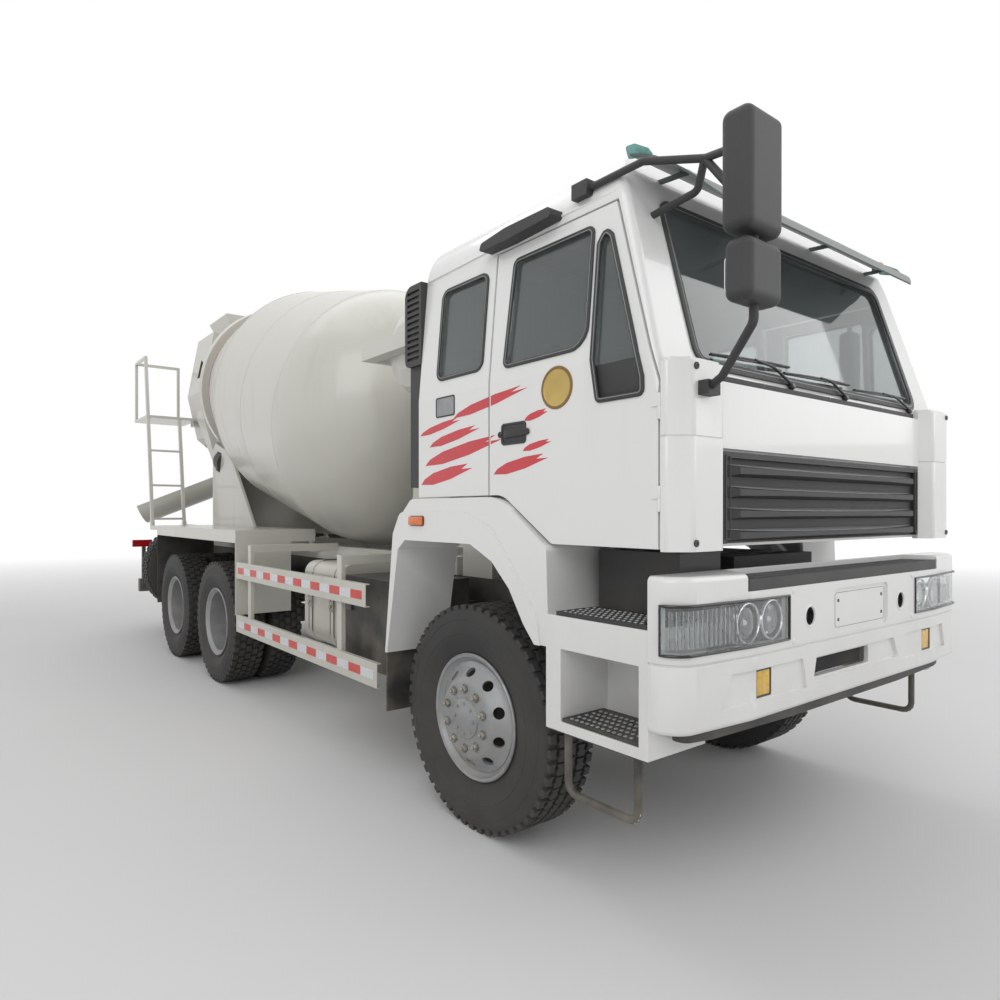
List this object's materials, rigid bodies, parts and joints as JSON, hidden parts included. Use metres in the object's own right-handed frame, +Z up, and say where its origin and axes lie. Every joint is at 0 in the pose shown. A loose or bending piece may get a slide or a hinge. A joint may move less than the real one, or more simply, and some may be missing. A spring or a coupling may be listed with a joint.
{
  "type": "concrete mixer truck",
  "caption": "Articulated cab-over concrete mixer truck with a tilting cab, opening doors, steered and rolling wheels, a turning drum on rollers and a swinging chute.",
  "frame": {"origin": "on the ground under the middle of the truck's overall box", "axes": "+X forward, +Y to the truck's left, +Z up"},
  "size_m": [8.8739, 2.63, 3.9481],
  "materials": {
    "tyre_rubber": "matt",
    "wheel_silver": "satin",
    "chassis_black": "satin",
    "mixer_cream": "gloss",
    "cab_white": "gloss",
    "window_glass": "clear",
    "dark_plastic": "matt",
    "smoked_plastic": "gloss",
    "lamp_clear": "gloss",
    "lamp_red": "gloss",
    "flap_rubber": "matt",
    "seat_fabric": "woven"
  },
  "bodies": {
    "chassis": {"frame_rails": "chassis_black", "frame_members": "chassis_black", "sub_frame": "mixer_cream", "front_axle": "chassis_black", "engine": "chassis_black", "rear_axles": "chassis_black", "rear_suspension": "chassis_black", "bumper": "cab_white", "bumper_trim": "dark_plastic", "front_lamps": "lamp_clear", "tail_lamps": "lamp_red", "fenders": "cab_white", "steps": "cab_white", "step_treads": "dark_plastic", "mud_flaps": "flap_rubber", "rear_deck": "mixer_cream", "side_guards": "mixer_cream", "fuel_tank": "mixer_cream", "side_boxes": "chassis_black", "front_pedestal": "mixer_cream", "rear_pedestal": "mixer_cream", "water_tank": "mixer_cream", "hopper": "mixer_cream", "ladder": "mixer_cream", "spare_tyre": "tyre_rubber", "spare_rim": "wheel_silver"},
    "cab": {"cab_shell": "cab_white", "cab_glass": "window_glass", "front_panels": "cab_white", "grille": "dark_plastic", "sun_visor": "smoked_plastic", "mirror_right": "dark_plastic", "kerb_mirror": "dark_plastic", "snorkel": "dark_plastic", "dashboard": "dark_plastic", "seats": "seat_fabric"},
    "right_door": {"door_right": "cab_white", "door_glass_right": "window_glass"},
    "left_door": {"door_left": "cab_white", "door_glass_left": "window_glass", "mirror_left": "dark_plastic"},
    "right_knuckle": {"knuckle_right": "chassis_black"},
    "left_knuckle": {"knuckle_left": "chassis_black"},
    "right_front_wheel": {"front_tyre_right": "tyre_rubber", "front_rim_right": "wheel_silver"},
    "left_front_wheel": {"front_tyre_left": "tyre_rubber", "front_rim_left": "wheel_silver"},
    "mixing_drum": {"drum": "mixer_cream"},
    "right_roller": {"roller_right": "chassis_black"},
    "left_roller": {"roller_left": "chassis_black"},
    "chute_swivel": {"chute_yoke": "mixer_cream"},
    "chute": {"chute_trough": "mixer_cream"},
    "first_rear_wheels_right": {"first_rear_tyres_right": "tyre_rubber", "first_rear_rims_right": "wheel_silver"},
    "first_rear_wheels_left": {"first_rear_tyres_left": "tyre_rubber", "first_rear_rims_left": "wheel_silver"},
    "second_rear_wheels_right": {"second_rear_tyres_right": "tyre_rubber", "second_rear_rims_right": "wheel_silver"},
    "second_rear_wheels_left": {"second_rear_tyres_left": "tyre_rubber", "second_rear_rims_left": "wheel_silver"}
  },
  "joints": [
    {"name": "cab_tilt", "type": "hinge", "parent": "chassis", "child": "cab", "pos_m": [3.987, 0, 0.95], "axis": [0, 1, 0], "range_deg": [0, 50]},
    {"name": "right_door_hinge", "type": "hinge", "parent": "cab", "child": "right_door", "pos_m": [4.056, -1.2075, 1.6], "axis": [0, 0, 1], "range_deg": [0, 70]},
    {"name": "left_door_hinge", "type": "hinge", "parent": "cab", "child": "left_door", "pos_m": [4.056, 1.2075, 1.6], "axis": [0, 0, -1], "range_deg": [0, 70]},
    {"name": "right_steering", "type": "hinge", "parent": "chassis", "child": "right_knuckle", "pos_m": [2.937, -0.905, 0.54009], "axis": [0, 0, 1], "range_deg": [-32, 32]},
    {"name": "left_steering", "type": "hinge", "parent": "chassis", "child": "left_knuckle", "pos_m": [2.937, 0.905, 0.54009], "axis": [0, 0, 1], "range_deg": [-32, 32]},
    {"name": "right_front_wheel_spin", "type": "hinge", "parent": "right_knuckle", "child": "right_front_wheel", "pos_m": [2.937, -1.0155, 0.54009], "axis": [0, 1, 0], "continuous": true},
    {"name": "left_front_wheel_spin", "type": "hinge", "parent": "left_knuckle", "child": "left_front_wheel", "pos_m": [2.937, 1.0155, 0.54009], "axis": [0, 1, 0], "continuous": true},
    {"name": "first_rear_wheels_right_spin", "type": "hinge", "parent": "chassis", "child": "first_rear_wheels_right", "pos_m": [-0.688, -0.9, 0.54009], "axis": [0, 1, 0], "continuous": true},
    {"name": "first_rear_wheels_left_spin", "type": "hinge", "parent": "chassis", "child": "first_rear_wheels_left", "pos_m": [-0.688, 0.9, 0.54009], "axis": [0, 1, 0], "continuous": true},
    {"name": "second_rear_wheels_right_spin", "type": "hinge", "parent": "chassis", "child": "second_rear_wheels_right", "pos_m": [-2.038, -0.9, 0.54009], "axis": [0, 1, 0], "continuous": true},
    {"name": "second_rear_wheels_left_spin", "type": "hinge", "parent": "chassis", "child": "second_rear_wheels_left", "pos_m": [-2.038, 0.9, 0.54009], "axis": [0, 1, 0], "continuous": true},
    {"name": "drum_spin", "type": "hinge", "parent": "chassis", "child": "mixing_drum", "pos_m": [1.237, 0, 2.112], "axis": [-0.9703, 0, 0.2419], "continuous": true},
    {"name": "right_roller_spin", "type": "hinge", "parent": "chassis", "child": "right_roller", "pos_m": [-2.3507, -0.56659, 2.10733], "axis": [-0.9703, 0, 0.2419], "continuous": true},
    {"name": "left_roller_spin", "type": "hinge", "parent": "chassis", "child": "left_roller", "pos_m": [-2.3507, 0.56659, 2.10733], "axis": [-0.9703, 0, 0.2419], "continuous": true},
    {"name": "chute_swing", "type": "hinge", "parent": "chassis", "child": "chute_swivel", "pos_m": [-3.703, 0, 1.5], "axis": [0, 0, 1], "range_deg": [-154, 26]},
    {"name": "chute_lift", "type": "hinge", "parent": "chute_swivel", "child": "chute", "pos_m": [-3.703, 0, 2.08], "axis": [-0.8988, 0.4384, 0], "range_deg": [-4, 18]}
  ],
  "couplings": [
    {"joint": "left_steering", "follows": "right_steering", "ratio": 1},
    {"joint": "right_roller_spin", "follows": "drum_spin", "ratio": -7.32},
    {"joint": "left_roller_spin", "follows": "drum_spin", "ratio": -7.32}
  ]
}
